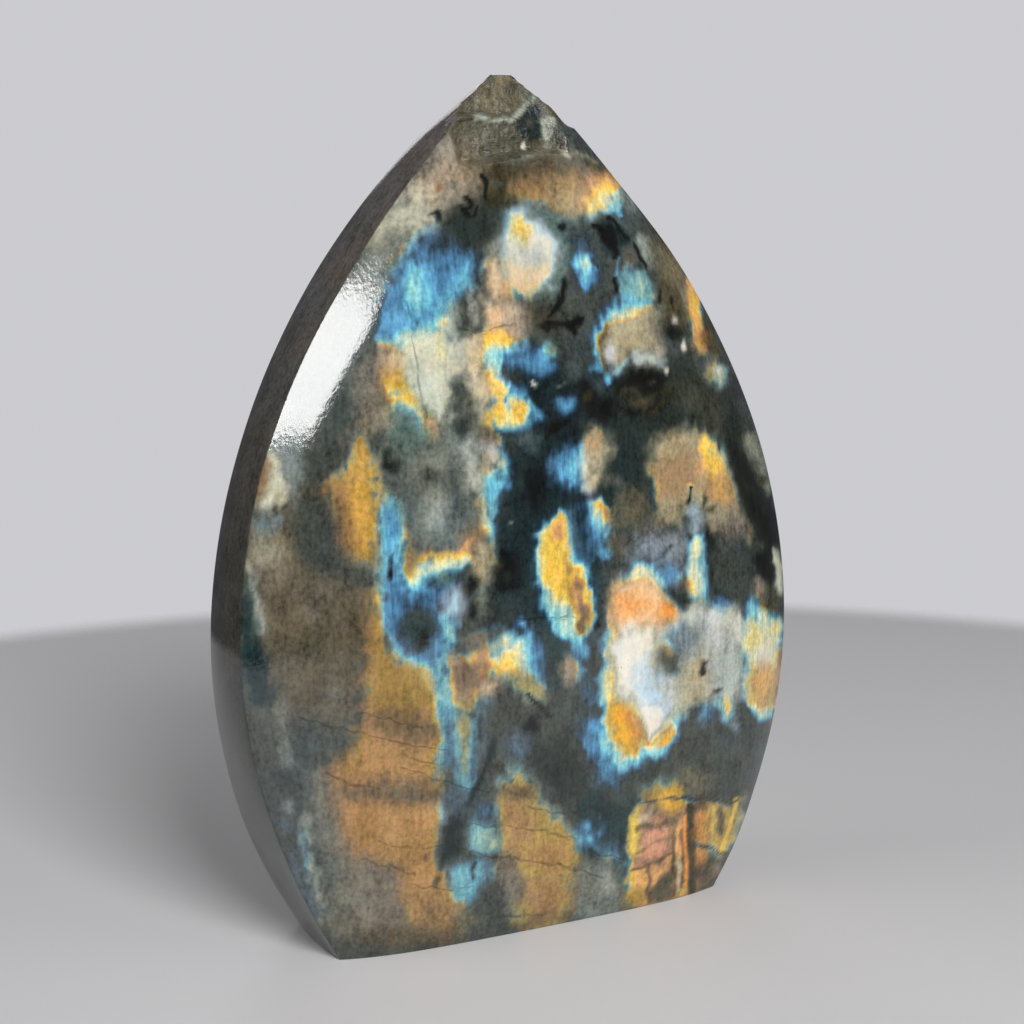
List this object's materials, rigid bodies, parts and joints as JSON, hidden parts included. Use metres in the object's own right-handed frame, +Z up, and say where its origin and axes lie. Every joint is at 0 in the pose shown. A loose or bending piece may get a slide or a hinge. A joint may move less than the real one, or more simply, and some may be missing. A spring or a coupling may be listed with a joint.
{
  "type": "spectrolite flame",
  "caption": "Polished upright flame of dark labradorite with a flat-cut base, flat ground side walls, gently domed faces and a broken tip.",
  "frame": {"origin": "on the flat base's plane, under the middle of the stone's overall box", "axes": "+Z up from the base to the tip, +X across the face, the brighter polished front faces -Y"},
  "size_m": [0.088, 0.031, 0.1198],
  "materials": {
    "polished_labradorite": "glossy polish over dark grey feldspar with patches of blue, cyan, gold and copper sheen; rough only on the broken tip"
  },
  "bodies": {
    "root": {"flame_stone": "polished_labradorite"}
  },
  "joints": []
}
